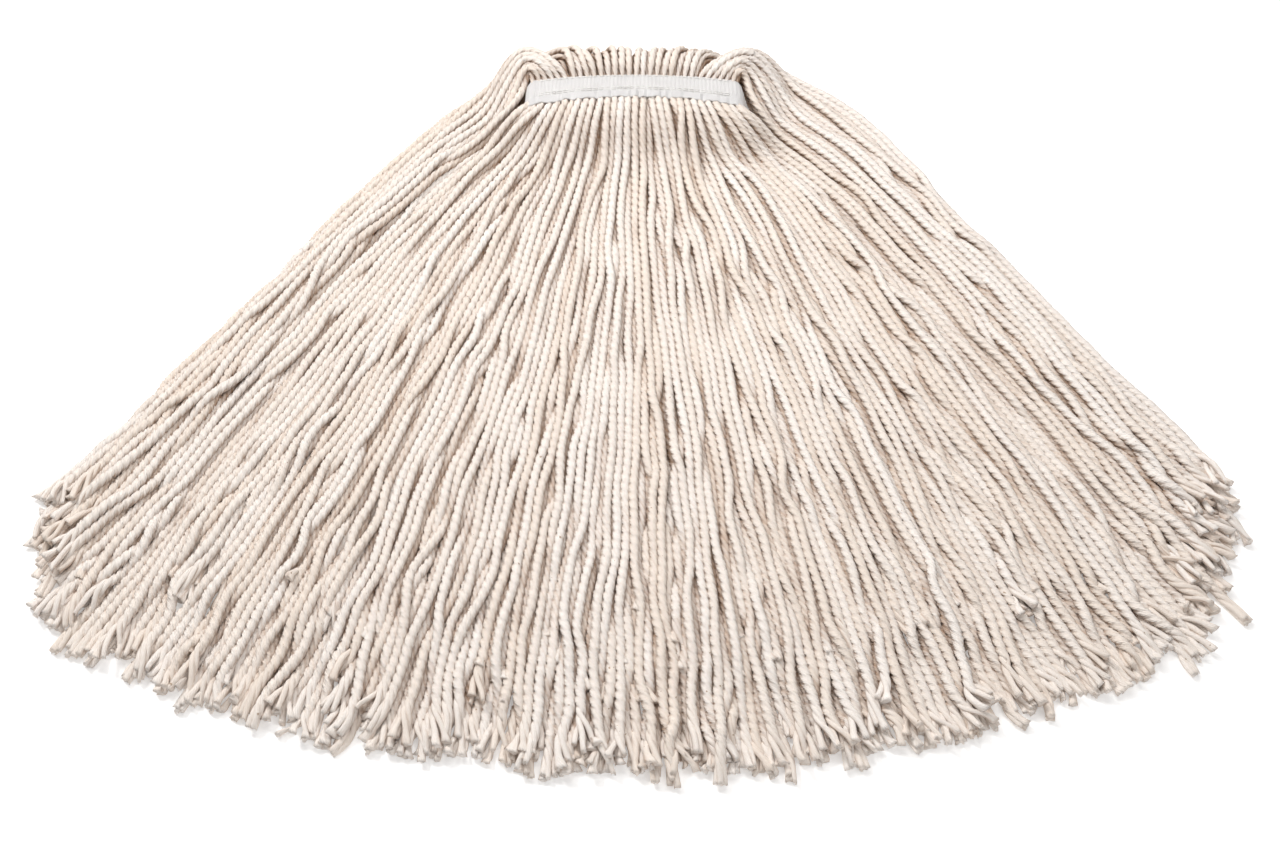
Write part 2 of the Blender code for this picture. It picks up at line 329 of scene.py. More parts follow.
def settle(yarns, turns):
    """Lets the yarns sink, push each other apart and come to rest on the floor and on each other."""
    count = len(yarns)
    path = np.stack([yarn.path for yarn in yarns])
    target = path.copy()
    radius = np.stack([yarn.radius for yarn in yarns]).ravel()
    spacing = np.array([yarn.length / (NODES - 1) for yarn in yarns])[:, None]
    node = np.arange(NODES)[None, :].repeat(count, axis=0)
    free_from = np.array([yarn.free_from for yarn in yarns])[:, None]
    pinned = node < 4
    loose = smooth((node - free_from) / 8.0)[..., None]
    held_bend = np.zeros_like(path)
    held_bend[:, 1:-1] = target[:, :-2] - 2 * target[:, 1:-1] + target[:, 2:]
    held_bend[..., 2:] *= 1 - loose
    held_bend[..., :2] *= 0.9
    strand = np.repeat(np.arange(count), NODES)
    index = node.ravel()
    total = count * NODES
    stiff = 0.22 + 0.4 * (1 - loose)
    pull = (0.012 + 0.06 * (1 - loose)) * np.array([1.0, 1.0, 0.0]) + (1 - loose) * np.array([0, 0, 0.05])
    sink = 0.00022 * loose
    for turn in range(turns):
        path[..., 2:] -= sink
        path += pull * (target - path)
        # Each yarn keeps its length
        for parity in (0, 1):
            a = path[:, parity:-1:2]
            b = path[:, parity + 1 :: 2]
            a = a[:, : b.shape[1]]
            gap = b - a
            size = np.linalg.norm(gap, axis=2, keepdims=True) + 1e-9
            shift = 0.5 * gap * (1 - spacing[..., None] / size)
            path[:, parity : parity + 2 * b.shape[1] : 2][:, : b.shape[1]] += shift
            path[:, parity + 1 :: 2][:, : b.shape[1]] -= shift
        # It resists bending away from how it was laid
        bend = path[:, :-2] - 2 * path[:, 1:-1] + path[:, 2:] - held_bend[:, 1:-1]
        path[:, 1:-1] += stiff[:, 1:-1] * 0.5 * bend
        # Yarns that overlap push each other apart
        flat = path.reshape(-1, 3)
        if turn % 7 == 0:
            first, second = near_pairs(flat, 0.0072, strand, index)
            room = radius[first] + radius[second]
        gap = flat[first] - flat[second]
        size = np.sqrt(np.einsum("ij,ij->i", gap, gap)) + 1e-9
        touch = size < room
        i, j = first[touch], second[touch]
        push = gap[touch] * (0.5 * (room[touch] / size[touch] - 1))[:, None]
        moved = np.empty((total, 3))
        for k in range(3):
            moved[:, k] = np.bincount(i, push[:, k], total) - np.bincount(j, push[:, k], total)
        hits = np.bincount(i, minlength=total) + np.bincount(j, minlength=total)
        flat += moved / np.maximum(1, 0.45 * hits)[:, None]
        path = flat.reshape(count, NODES, 3)
        path[..., 2] = np.maximum(path[..., 2], radius.reshape(count, NODES) * 0.96)
        path[pinned] = target[pinned]
        # Sideways shoves are spread along the yarn, so that none of it zigzags
        if turn % 8 == 4:
            drift = path - target
            for _ in range(3):
                drift[:, 1:-1] = 0.25 * drift[:, :-2] + 0.5 * drift[:, 1:-1] + 0.25 * drift[:, 2:]
            path[..., :2] = (target + drift)[..., :2]
    for _ in range(3):
        path[:, 1:-1] = 0.25 * path[:, :-2] + 0.5 * path[:, 1:-1] + 0.25 * path[:, 2:]
    return path, radius.reshape(count, NODES)


def refine(values, count):
    """Catmull-Rom interpolation of every yarn's nodes to more rings."""
    nodes = values.shape[1]
    t = np.linspace(0, nodes - 1, count)
    base = np.minimum(t.astype(int), nodes - 2)
    f = (t - base)[:, None]
    i0 = np.maximum(base - 1, 0)
    i3 = np.minimum(base + 2, nodes - 1)
    p0, p1, p2, p3 = values[:, i0], values[:, base], values[:, base + 1], values[:, i3]
    square = (2 * p0 - 5 * p1 + 4 * p2 - p3) * f**2
    cube = (3 * p1 - p0 - 3 * p2 + p3) * f**3
    return 0.5 * (2 * p1 + (p2 - p0) * f + square + cube)


def frames(path):
    """Side and up directions carried along every path without twisting."""
    tangent = np.empty_like(path)
    tangent[:, 1:-1] = path[:, 2:] - path[:, :-2]
    tangent[:, 0] = path[:, 1] - path[:, 0]
    tangent[:, -1] = path[:, -1] - path[:, -2]
    tangent /= np.linalg.norm(tangent, axis=2, keepdims=True)
    side = np.empty_like(path)
    now = np.cross(tangent[:, 0], [0.0, 0.0, 1.0])
    for k in range(path.shape[1]):
        now = now - np.einsum("ij,ij->i", now, tangent[:, k])[:, None] * tangent[:, k]
        now /= np.linalg.norm(now, axis=1, keepdims=True)
        side[:, k] = now
    return tangent, side, np.cross(side, tangent)


class MeshParts:
    """Collects tubes and makes one mesh of them."""

    def __init__(self):
        self.verts, self.faces, self.uvs, self.tone_and_shade = [], [], [], []
        self.count = 0

    def tube(self, rings, v, tone_and_shade, shade=None, cap_depth=0.0):
        """rings is (n, sides, 3).  Both end rings are closed with a cap pushed in by cap_depth."""
        n, sides, _ = rings.shape
        grid = np.arange(n * sides).reshape(n, sides) + self.count
        a, b = grid[:-1], np.roll(grid[:-1], -1, axis=1)
        c, d = np.roll(grid[1:], -1, axis=1), grid[1:]
        self.faces.append(np.stack([a, d, c, b], axis=-1).reshape(-1, 4))
        k = np.arange(sides) / sides
        u0 = np.broadcast_to(k, (n - 1, sides))
        u1 = u0 + 1 / sides
        v0 = np.broadcast_to(v[:-1, None], (n - 1, sides))
        v1 = np.broadcast_to(v[1:, None], (n - 1, sides))
        uv = np.stack([u0, v0, u0, v1, u1, v1, u1, v0], axis=-1)
        self.uvs.append(uv.reshape(-1, 4, 2))
        extra = []
        for ring, row, flip in ((rings[-1], grid[-1], False), (rings[0], grid[0], True)):
            middle = self.count + n * sides + len(extra)
            inward = rings[-2].mean(axis=0) if not flip else rings[1].mean(axis=0)
            centre = ring.mean(axis=0)
            extra.append(centre + (inward - centre) * cap_depth)
            nxt = np.roll(row, -1)
            tri = np.stack([row, np.full(sides, middle), nxt], axis=1)
            if flip:
                tri = tri[:, ::-1]
            self.faces.append(np.concatenate([tri, tri[:, :1]], axis=1))
            end = v[-1] if not flip else v[0]
            self.uvs.append(np.broadcast_to([0.0, end], (sides, 4, 2)))
        self.verts.append(rings.reshape(-1, 3))
        self.verts.append(np.array(extra))
        made = n * sides + 2
        tones_and_shade = np.tile(np.asarray(tone_and_shade, dtype=float), (made, 1))
        # The middle value of every point's tone is painted shade: 0.3 on the caps, the given shade on the
        # rings.
        tones_and_shade[:, 1] = 0.3
        if shade is not None:
            tones_and_shade[: n * sides, 1] = shade.ravel()
        self.tone_and_shade.append(tones_and_shade)
        self.count += made

    def build(self, name, material):
        """The mesh object, with its UV layer "yarn" and its attribute of random tone and painted shade."""
        verts = np.concatenate(self.verts)
        verts = verts + np.array([0.0, BAND_Y, 0.0])
        verts[:, 2] = np.maximum(verts[:, 2], 0.0001)
        faces = np.concatenate(self.faces)
        uvs = np.concatenate(self.uvs)
        triangle = faces[:, 3] == faces[:, 0]
        sizes = np.where(triangle, 3, 4)
        mask = np.ones((len(faces), 4), bool)
        mask[triangle, 3] = False
        mesh = bpy.data.meshes.new(name)
        mesh.vertices.add(len(verts))
        mesh.vertices.foreach_set("co", verts.astype(np.float32).ravel())
        mesh.loops.add(int(mask.sum()))
        mesh.loops.foreach_set("vertex_index", faces[mask].astype(np.int32))
        mesh.polygons.add(len(faces))
        starts = np.concatenate([[0], np.cumsum(sizes)[:-1]])
        mesh.polygons.foreach_set("loop_start", starts.astype(np.int32))
        mesh.polygons.foreach_set("use_smooth", np.ones(len(faces), bool))
        layer = mesh.uv_layers.new(name="yarn")
        layer.uv.foreach_set("vector", uvs[mask].astype(np.float32).ravel())
        tone_and_shade = mesh.attributes.new("tone_and_shade", "FLOAT_VECTOR", "POINT")
        tone_and_shade.data.foreach_set("vector", np.concatenate(self.tone_and_shade).astype(np.float32).ravel())
        mesh.update()
        mesh.validate()
        mesh.materials.append(material)
        obj = bpy.data.objects.new(name, mesh)
        bpy.context.scene.collection.objects.link(obj)
        return obj


# A yarn's section: two points on each of the four plies and one in each groove between them
RING_ANGLE = np.radians([27, 63, 90, 117, 153, 180, 207, 243, 270, 297, 333, 360]) - math.radians(45)
RING_SIZE = np.array([1.0, 1.0, 0.70] * 4)


def twist_at(length):
    return 2 * math.pi * length / LAY


def ring_points(path, side, up, x, y):
    """Points round each point of a path, x along its side direction and y along its up direction."""
    return path[:, None, :] + x[..., None] * side[:, None, :] + y[..., None] * up[:, None, :]


def crowding(path, in_front):
    """How much yarn lies above and below each node, from 0 to 1.

    Yarns of the other half count for less, because on the real mop the two halves can fold apart.
    """
    count = path.shape[0]
    flat = path.reshape(-1, 3)
    strand = np.repeat(np.arange(count), NODES)
    index = np.tile(np.arange(NODES), count)
    first, second = near_pairs(flat, 0.0085, strand, index)
    same = in_front[strand[first]] == in_front[strand[second]]
    gap = flat[first, 2] - flat[second, 2]
    higher, lower = np.where(gap > 0, first, second), np.where(gap > 0, second, first)
    above = np.bincount(lower, abs(gap) * np.where(same, 1.0, 0.25), len(flat))
    below = np.bincount(higher, abs(gap) * np.where(same, 0.5, 0.0), len(flat))
    return np.clip(np.stack([above, below], axis=1).reshape(count, NODES, 2) / 0.030, 0, 1)


def hidden(facing, deep):
    """How much of the light a point on a yarn misses.

    facing is the upward part of its normal, and deep is what crowding() says of its place.
    """
    upward = smooth(0.5 + 0.8 * facing)
    depth = upward * deep[:, :1] + (1 - upward) * deep[:, 1:]
    return 0.52 * smooth((0.62 - abs(facing)) / 0.7) + 0.62 * depth


def add_yarn(parts, path, side, up, radius, v, tone_and_shade, deep, frayed, first, last, seed, splay=1.0):
    """Adds rings first..last of one yarn, and its four loose plies where the cut end is in range."""
    local = np.random.default_rng(seed)
    fray = int(local.integers(6, 14)) if frayed else 0
    end = last - fray
    ring = slice(first, end + 1)
    wobble = 1 + 0.05 * np.sin(v[ring] * local.uniform(180, 260) + local.uniform(0, 6))
    wobble = wobble + 0.03 * np.sin(v[ring] * local.uniform(500, 800))
    phase = local.uniform(0, 6.3)
    angle = RING_ANGLE[None, :] + (twist_at(v[ring]) + phase)[:, None]
    size = (radius[ring] * 1.12 * wobble)[:, None] * RING_SIZE[None, :]
    if frayed:
        size[-4:] *= np.array([0.97, 0.88, 0.72, 0.45])[:, None]
    rings = ring_points(path[ring], side[ring], up[ring], size * np.cos(angle), size * np.sin(angle))
    facing = np.sin(angle) * up[ring, None, 2] + np.cos(angle) * side[ring, None, 2]
    # Painted shade: darker where the yarn faces sideways or down, or lies deep in the pile, and in the
    # grooves between the plies
    shade = hidden(facing, deep[ring]) + 0.16 * (RING_SIZE[None, :] < 0.9)
    parts.tube(rings, v[ring], tone_and_shade, np.clip(shade, 0, 1))
    if frayed:
        # The plies start a little inside the tapering end of the twisted yarn
        span = slice(end - 4, last + 1)
        lines = (path[span], side[span], up[span], v[span], deep[span])
        add_plies(parts, *lines, phase + twist_at(v[end]), v[end], radius[end], tone_and_shade, fray, splay, local)


def add_plies(parts, path, side, up, v, deep, base_angle, v_end, radius, tone_and_shade, fray, splay, local):
    """The four plies of a cut end, which untwist and open up towards their tips."""
    m = len(path)
    grow = np.linspace(0, 1, m)
    open_up = smooth((grow * (m - 1) - 3) / (m - 4))
    slow = twist_at(v - v_end) * (1 - 0.55 * open_up)
    section = np.linspace(0, 2 * math.pi, 9)[:-1]
    loose = local.uniform(0.5, 1.9) if splay > 0.5 else 1.0
    for ply in range(4):
        if local.random() < 0.06:
            continue
        reach = m - int(local.integers(0, max(1, fray // 3)))
        lean = base_angle + ply * math.pi / 2 + slow
        spread = radius * (0.46 + open_up * splay * loose * local.uniform(0.25, 1.25))
        curl = radius * splay * open_up**2 * local.normal(0, 0.6, size=(2, 1))
        cx = spread * np.cos(lean) + curl[0]
        cy = spread * np.sin(lean) + 0.6 * curl[1]
        own = radius * (0.34 + 0.24 * smooth(grow * (m - 1) / 3.0) + 0.08 * open_up)
        # Its section flattens and widens at the tip, and is turned by a random angle
        flare = 1 + splay * local.uniform(0.2, 1.1) * smooth((grow - 0.72) / 0.28)
        thin = 1 - local.uniform(0.15, 0.5) * smooth((grow - 0.6) / 0.4)
        turn = local.uniform(0, 3.1)
        px = own[:, None] * flare[:, None] * np.cos(section)[None, :]
        py = own[:, None] * thin[:, None] * np.sin(section)[None, :]
        px = px * (1 + 0.08 * local.normal(size=(1, 8)))
        ox = cx[:, None] + px * math.cos(turn) - py * math.sin(turn)
        oy = cy[:, None] + px * math.sin(turn) + py * math.cos(turn)
        rings = ring_points(path, side, up, ox, oy)[:reach]
        rings[-1] += (path[-1] - path[-2]) * local.uniform(-0.35, 0.35, size=(8, 1))
        low = rings[..., 2].min(axis=1)
        rings[..., 2] += np.clip(0.0003 - low, 0, None)[:, None]
        ends = np.array([tone_and_shade[0] + local.normal(0, 0.05), 1.0, tone_and_shade[2]])
        facing = (oy - cy[:, None]) / (np.hypot(px, py) + 1e-9)
        # Painted shade on the plies, from how they face and how deep they lie in the pile
        shade = hidden(facing, 0.7 * deep)
        parts.tube(rings, v[:reach], ends, shade[:reach], cap_depth=0.35)


# Materials ---------------------------------------------------------------------------------------


def node(tree, kind, **settings):
    made = tree.nodes.new(kind)
    for name, value in settings.items():
        if name == "inputs":
            for key, default in value.items():
                made.inputs[key].default_value = default
        else:
            setattr(made, name, value)
    return made


def new_material(name, roughness, sheen):
    material = bpy.data.materials.new(name)
    material.use_nodes = True
    shader = material.node_tree.nodes["Principled BSDF"]
    shader.inputs["Roughness"].default_value = roughness
    shader.inputs["Sheen Weight"].default_value = sheen
    shader.inputs["Specular IOR Level"].default_value = 0.15
    return material, material.node_tree, shader


def maths(tree, operation, a, b=None):
    made = node(tree, "ShaderNodeMath", operation=operation)
    for slot, value in enumerate((a, b)):
        if value is None:
            continue
        if isinstance(value, (int, float)):
            made.inputs[slot].default_value = value
        else:
            tree.links.new(value, made.inputs[slot])
    return made.outputs[0]


def mix_colour(tree, factor, a, b, blend="MIX"):
    made = node(tree, "ShaderNodeMix", data_type="RGBA", blend_type=blend)
    for slot, value in ((0, factor), (6, a), (7, b)):
        if isinstance(value, (int, float, tuple)):
            made.inputs[slot].default_value = value
        else:
            tree.links.new(value, made.inputs[slot])
    return made.outputs[2]


def ramp(tree, value, low, high):
    made = node(tree, "ShaderNodeMapRange", interpolation_type="SMOOTHSTEP")
    made.inputs[1].default_value = low
    made.inputs[2].default_value = high
    tree.links.new(value, made.inputs[0])
    return made.outputs[0]


def cotton_material():
    material, tree, shader = new_material("cotton_yarn_twisted", 0.92, 0.10)
    uv = node(tree, "ShaderNodeUVMap", uv_map="yarn")
    split = node(tree, "ShaderNodeSeparateXYZ")
    tree.links.new(uv.outputs[0], split.inputs[0])
    u, v = split.outputs[0], split.outputs[1]
    attribute = node(tree, "ShaderNodeAttribute", attribute_name="tone_and_shade")
    tone_and_shade = node(tree, "ShaderNodeSeparateXYZ")
    tree.links.new(attribute.outputs["Vector"], tone_and_shade.inputs[0])

    # Fine ridges of the spun singles, slanting across each ply
    slant = maths(tree, "ADD", maths(tree, "MULTIPLY", u, 12.0), maths(tree, "MULTIPLY", v, -1 / 0.0031))
    ridge = maths(tree, "SINE", maths(tree, "MULTIPLY", slant, 2 * math.pi))

    # Fibres: noise stretched along the yarn
    spot = node(tree, "ShaderNodeCombineXYZ")
    tree.links.new(maths(tree, "MULTIPLY", u, 16.0), spot.inputs[0])
    tree.links.new(maths(tree, "MULTIPLY", v, 500.0), spot.inputs[1])
    tree.links.new(maths(tree, "MULTIPLY", tone_and_shade.outputs[2], 61.0), spot.inputs[2])
    fibre = node(tree, "ShaderNodeTexNoise", inputs={"Scale": 1.0, "Detail": 3.0, "Roughness": 0.6})
    tree.links.new(spot.outputs[0], fibre.inputs["Vector"])
    slow = node(tree, "ShaderNodeTexNoise", inputs={"Scale": 28.0, "Detail": 2.0})
    where = node(tree, "ShaderNodeTexCoord")
    tree.links.new(where.outputs["Object"], slow.inputs["Vector"])

    # Colour: each yarn a little lighter or warmer, with painted shade in the fibre hollows, between the
    # plies and deep in the pile, and rare seed flecks
    own = maths(tree, "MULTIPLY", tone_and_shade.outputs[0], 0.7)
    blend = maths(tree, "ADD", own, maths(tree, "MULTIPLY", slow.outputs[0], 0.3))
    colour = mix_colour(tree, blend, (0.845, 0.745, 0.66, 1), (0.93, 0.885, 0.85, 1))
    # Painted shade in the fibre hollows: darker where the fibre noise, which also sinks the bump, is low
    fibre_hollow_shade = ramp(tree, fibre.outputs[0], 0.62, 0.30)
    colour = mix_colour(tree, maths(tree, "MULTIPLY", fibre_hollow_shade, 0.22), colour, (0.70, 0.56, 0.43, 1))
    # Painted shade: the baked shade in the attribute darkens the colour towards warm brown
    shade = ramp(tree, tone_and_shade.outputs[1], 0.05, 1.0)
    colour = mix_colour(tree, maths(tree, "MULTIPLY", shade, 0.95), colour, (0.36, 0.20, 0.105, 1))
    seed_where = node(tree, "ShaderNodeTexNoise", inputs={"Scale": 330.0, "Detail": 1.0})
    tree.links.new(where.outputs["Object"], seed_where.inputs["Vector"])
    fleck = ramp(tree, seed_where.outputs[0], 0.775, 0.80)
    colour = mix_colour(tree, maths(tree, "MULTIPLY", fleck, 0.7), colour, (0.33, 0.20, 0.10, 1))
    tree.links.new(colour, shader.inputs["Base Color"])

    height = maths(tree, "ADD", maths(tree, "MULTIPLY", ridge, 0.35), fibre.outputs[0])
    bump = node(tree, "ShaderNodeBump", inputs={"Strength": 0.75, "Distance": 0.00035})
    tree.links.new(height, bump.inputs["Height"])
    tree.links.new(bump.outputs[0], shader.inputs["Normal"])
    return material


def tape_material():
    material, tree, shader = new_material("headband_woven_tape", 0.88, 0.08)
    uv = node(tree, "ShaderNodeUVMap", uv_map="yarn")
    split = node(tree, "ShaderNodeSeparateXYZ")
    tree.links.new(uv.outputs[0], split.inputs[0])
    u, v = split.outputs[0], split.outputs[1]
    weft = maths(tree, "SINE", maths(tree, "MULTIPLY", u, 2 * math.pi / 0.00085))
    warp = maths(tree, "SINE", maths(tree, "MULTIPLY", v, 2 * math.pi / 0.00080))
    weave = maths(tree, "MULTIPLY", weft, warp)
    noise = node(tree, "ShaderNodeTexNoise", inputs={"Scale": 900.0, "Detail": 3.0})
    where = node(tree, "ShaderNodeTexCoord")
    tree.links.new(where.outputs["Object"], noise.inputs["Vector"])
    cloud = node(tree, "ShaderNodeTexNoise", inputs={"Scale": 60.0, "Detail": 2.0})
    tree.links.new(where.outputs["Object"], cloud.inputs["Vector"])
    colour = mix_colour(tree, cloud.outputs[0], (0.64, 0.63, 0.63, 1), (0.75, 0.74, 0.735, 1))
    # Painted shade: darker in the hollows of the weave, where the same pattern sinks the bump
    weave_hollow_shade = ramp(tree, maths(tree, "ADD", weave, noise.outputs[0]), 0.15, -0.55)
    colour = mix_colour(tree, maths(tree, "MULTIPLY", weave_hollow_shade, 0.35), colour, (0.50, 0.48, 0.47, 1))
    tree.links.new(colour, shader.inputs["Base Color"])
    height = maths(tree, "ADD", maths(tree, "MULTIPLY", weave, 0.5), noise.outputs[0])
    bump = node(tree, "ShaderNodeBump", inputs={"Strength": 0.7, "Distance": 0.0003})
    tree.links.new(height, bump.inputs["Height"])
    tree.links.new(bump.outputs[0], shader.inputs["Normal"])
    return material


def thread_material():
    material, tree, shader = new_material("sewing_thread_white", 0.7, 0.05)
    where = node(tree, "ShaderNodeTexCoord")
    noise = node(tree, "ShaderNodeTexNoise", inputs={"Scale": 1800.0, "Detail": 2.0})
    tree.links.new(where.outputs["Object"], noise.inputs["Vector"])
    # Mottled thread colour, darker where the same noise sinks the bump: painted shade in the thread's
    # hollows
    colour = mix_colour(tree, noise.outputs[0], (0.70, 0.68, 0.66, 1), (0.90, 0.89, 0.87, 1))
    tree.links.new(colour, shader.inputs["Base Color"])
    bump = node(tree, "ShaderNodeBump", inputs={"Strength": 0.5, "Distance": 0.0001})
    tree.links.new(noise.outputs[0], bump.inputs["Height"])
    tree.links.new(bump.outputs[0], shader.inputs["Normal"])
    return material


# Headband ----------------------------------------------------------------------------------------

STITCH_ROWS = {"near_row": -0.0098, "inner_row": -0.0074, "far_row": 0.0088}
STITCH_PITCH = 0.0042
STRIP_NEAR = -0.0172
STRIP_FAR = 0.0127
TAPE_THICK = 0.0008
TAPE_BEND = 0.0062  # radius of the tape's turn round each end of the band
TAPE_FLAT = 2 * (BAND_HALF_LENGTH - TAPE_BEND)


def tape_centre(b):
    """Point and outward direction at length b round the band's loop, in the x-z plane."""
    flat = TAPE_FLAT
    bend = math.pi * TAPE_BEND
    b = np.mod(b, 2 * flat + 2 * bend)
    x = np.where(b < flat, b - flat / 2, 0.0)
    z = np.where(b < flat, 1.0, 0.0)
    nx = np.zeros_like(b)
    nz = np.where(b < flat, 1.0, 0.0)
    turn = (b >= flat) & (b < flat + bend)
    angle = (b - flat) / TAPE_BEND
    x = np.where(turn, flat / 2 + TAPE_BEND * np.sin(angle), x)
    z = np.where(turn, np.cos(angle), z)
    nx = np.where(turn, np.sin(angle), nx)
    nz = np.where(turn, np.cos(angle), nz)
    low = (b >= flat + bend) & (b < 2 * flat + bend)
    x = np.where(low, flat / 2 - (b - flat - bend), x)
    z = np.where(low, -1.0, z)
    nz = np.where(low, -1.0, nz)
    turn = b >= 2 * flat + bend
    angle = (b - 2 * flat - bend) / TAPE_BEND + math.pi
    x = np.where(turn, -flat / 2 + TAPE_BEND * np.sin(angle), x)
    z = np.where(turn, np.cos(angle), z)
    nx = np.where(turn, np.sin(angle), nx)
    nz = np.where(turn, np.cos(angle), nz)
    return x, z * (TAPE_HALF_THICK - TAPE_THICK), nx, nz


def lip_height(path, radius):
    """Height of the yarns' upper surface under the tape's near edge, over evenly spaced x."""
    places = np.linspace(-0.080, 0.080, 161)
    level = np.full_like(places, BAND_MID_Z + 0.005)
    edge = band_warp(np.stack([places, np.full_like(places, STRIP_NEAR), level], axis=1))
    heights = []
    for x, y, z in edge:
        near = (abs(path[..., 0] - x) < 0.0022) & (abs(path[..., 1] - y) < 0.0022)
        heights.append((path[near][:, 2] + radius[near] * 1.05).max(initial=z - 0.004))
    return places, np.convolve(np.pad(heights, 1, mode="edge"), [0.25, 0.5, 0.25], "valid")


def build_tape(material, lip):
    """The woven tape as one closed loop with two faces.  Its near edge lies on the yarns at height lip."""
    flat = TAPE_FLAT
    loop = 2 * flat + 2 * math.pi * TAPE_BEND
    along = np.linspace(0, loop, 641)[:-1]
    across = np.linspace(STRIP_NEAR, STRIP_FAR, 46)
    b, y = np.meshgrid(along, across, indexing="ij")
    x, z, nx, nz = tape_centre(b)
    rib = 0.00016 * np.sin(2 * math.pi * b / 0.0027)
    rib *= smooth((y + 0.0105) / 0.002)
    sag = -0.0012 * smooth((-0.0110 - y) / 0.0045) - 0.0010 * smooth((y - 0.0085) / 0.0045)
    dimple = np.zeros_like(b)
    for row in STITCH_ROWS.values():
        groove = np.exp(-(((y - row) / 0.0009) ** 2))
        hole = 0.5 + 0.5 * np.cos(2 * math.pi * (b - flat / 2) / STITCH_PITCH)
        dimple -= groove * (0.00018 + 0.00045 * hole**4)
    puff = 0.0004 * np.sin(2 * math.pi * b / 0.0098 + 1.0) * smooth((-0.009 - y) / 0.005)
    puff += 0.00025 * np.sin(2 * math.pi * b / 0.023) * np.sin(math.pi * (y - STRIP_NEAR) / 0.028)
    out = rib + sag + dimple + puff
    edge = 0.00045 * np.sin(2 * math.pi * b / 0.017) + 0.0003 * np.sin(2 * math.pi * b / 0.0061 + 2)
    y = y + edge * smooth((-0.012 - y) / 0.003)

    def surface(offset):
        grid = np.stack([x + nx * (out + offset), y, BAND_MID_Z + z + nz * (out + offset)], axis=-1)
        return band_warp(grid)

    outer, inner = surface(TAPE_THICK), surface(-0.0001)
    hug = smooth((-0.0100 - y) / 0.0035) * (z > 0) * smooth((0.0745 - abs(x)) / 0.004)
    drop = np.interp(outer[..., 0], *lip) + 0.0003 - outer[..., 2]
    outer[..., 2] += hug * drop
    inner[..., 2] += hug * drop
    n, m = b.shape
    first = np.arange(n * m).reshape(n, m)
    second = first + n * m
    nxt = np.roll(first, -1, axis=0)
    nxt2 = np.roll(second, -1, axis=0)
    # Outer face, inner face, near edge and far edge
    quads = [
        np.stack([first[:, :-1], nxt[:, :-1], nxt[:, 1:], first[:, 1:]], axis=-1).reshape(-1, 4),
        np.stack([second[:, :-1], second[:, 1:], nxt2[:, 1:], nxt2[:, :-1]], axis=-1).reshape(-1, 4),
        np.stack([first[:, 0], second[:, 0], nxt2[:, 0], nxt[:, 0]], axis=-1),
        np.stack([first[:, -1], nxt[:, -1], nxt2[:, -1], second[:, -1]], axis=-1),
    ]
    faces = np.concatenate(quads)
    verts = np.concatenate([outer.reshape(-1, 3), inner.reshape(-1, 3)]) + np.array([0.0, BAND_Y, 0.0])
    mesh = bpy.data.meshes.new("headband_webbing")
    mesh.from_pydata(verts.tolist(), [], faces.tolist())
    flat_uv = np.stack([np.tile(b.ravel(), 2), np.tile(y.ravel(), 2)], axis=1)
    layer = mesh.uv_layers.new(name="yarn")
    loops = np.empty(len(mesh.loops), np.int32)
    mesh.loops.foreach_get("vertex_index", loops)
    layer.uv.foreach_set("vector", flat_uv[loops].astype(np.float32).ravel())
    mesh.polygons.foreach_set("use_smooth", np.ones(len(mesh.polygons), bool))
    mesh.materials.append(material)
    obj = bpy.data.objects.new("headband_webbing", mesh)
    bpy.context.scene.collection.objects.link(obj)
    return obj


def build_stitches(name, row, face, material):
    """One row of short thread bridges from hole to hole, on the upper or lower face of the tape."""
    parts = MeshParts()
    count = int((TAPE_FLAT - 0.004) / STITCH_PITCH)
    ring = np.linspace(0, 2 * math.pi, 9)[:-1]
    for k in range(count):
        centre = (k - (count - 1) / 2) * STITCH_PITCH
        t = np.linspace(-1, 1, 11)
        x = centre + t * STITCH_PITCH * 0.46
        rise = TAPE_HALF_THICK - 0.00005 + 0.00032 * (1 - t**4) - 0.0006 * abs(t) ** 6
        line = np.stack([x, np.full_like(x, row), BAND_MID_Z + face * rise], axis=1)
        thick = 0.00036 * (1 - 0.35 * abs(t) ** 3)
        rings = line[:, None, :] + np.stack(
            [np.zeros((11, 8)), thick[:, None] * np.cos(ring), thick[:, None] * np.sin(ring)], axis=-1
        )
        parts.tube(band_warp(rings), x, (0.5, 0.0, 0.5))
    return parts.build(name, material)


# Scene -------------------------------------------------------------------------------------------


def at(x, y, z):
    """A point of the band frame in the frame's own coordinates."""
    return (x, BAND_Y + y, z)


def add_camera():
    elevation = math.radians(57)
    distance = 1.055
    aim = np.array(at(0.004, -0.263, 0.0))
    place = aim + distance * np.array([0.0, -math.cos(elevation), math.sin(elevation)])
    data = bpy.data.cameras.new("camera")
    data.lens = 46.9
    data.sensor_width = 36
    data.clip_start = 0.01
    camera = bpy.data.objects.new("camera", data)
    camera.location = place.tolist()
    camera.rotation_euler = (math.pi / 2 - elevation, 0, 0)
    bpy.context.scene.collection.objects.link(camera)
    bpy.context.scene.camera = camera


def add_light(name, place, aim, size, energy, colour):
    data = bpy.data.lights.new(name, "AREA")
    data.shape = "DISK"
    data.size = size
    data.energy = energy
    data.color = colour
    light = bpy.data.objects.new(name, data)
    light.location = place
    direction = np.array(aim) - np.array(place)
    light.rotation_euler = Vector(direction).to_track_quat("-Z", "Y").to_euler()
    bpy.context.scene.collection.objects.link(light)


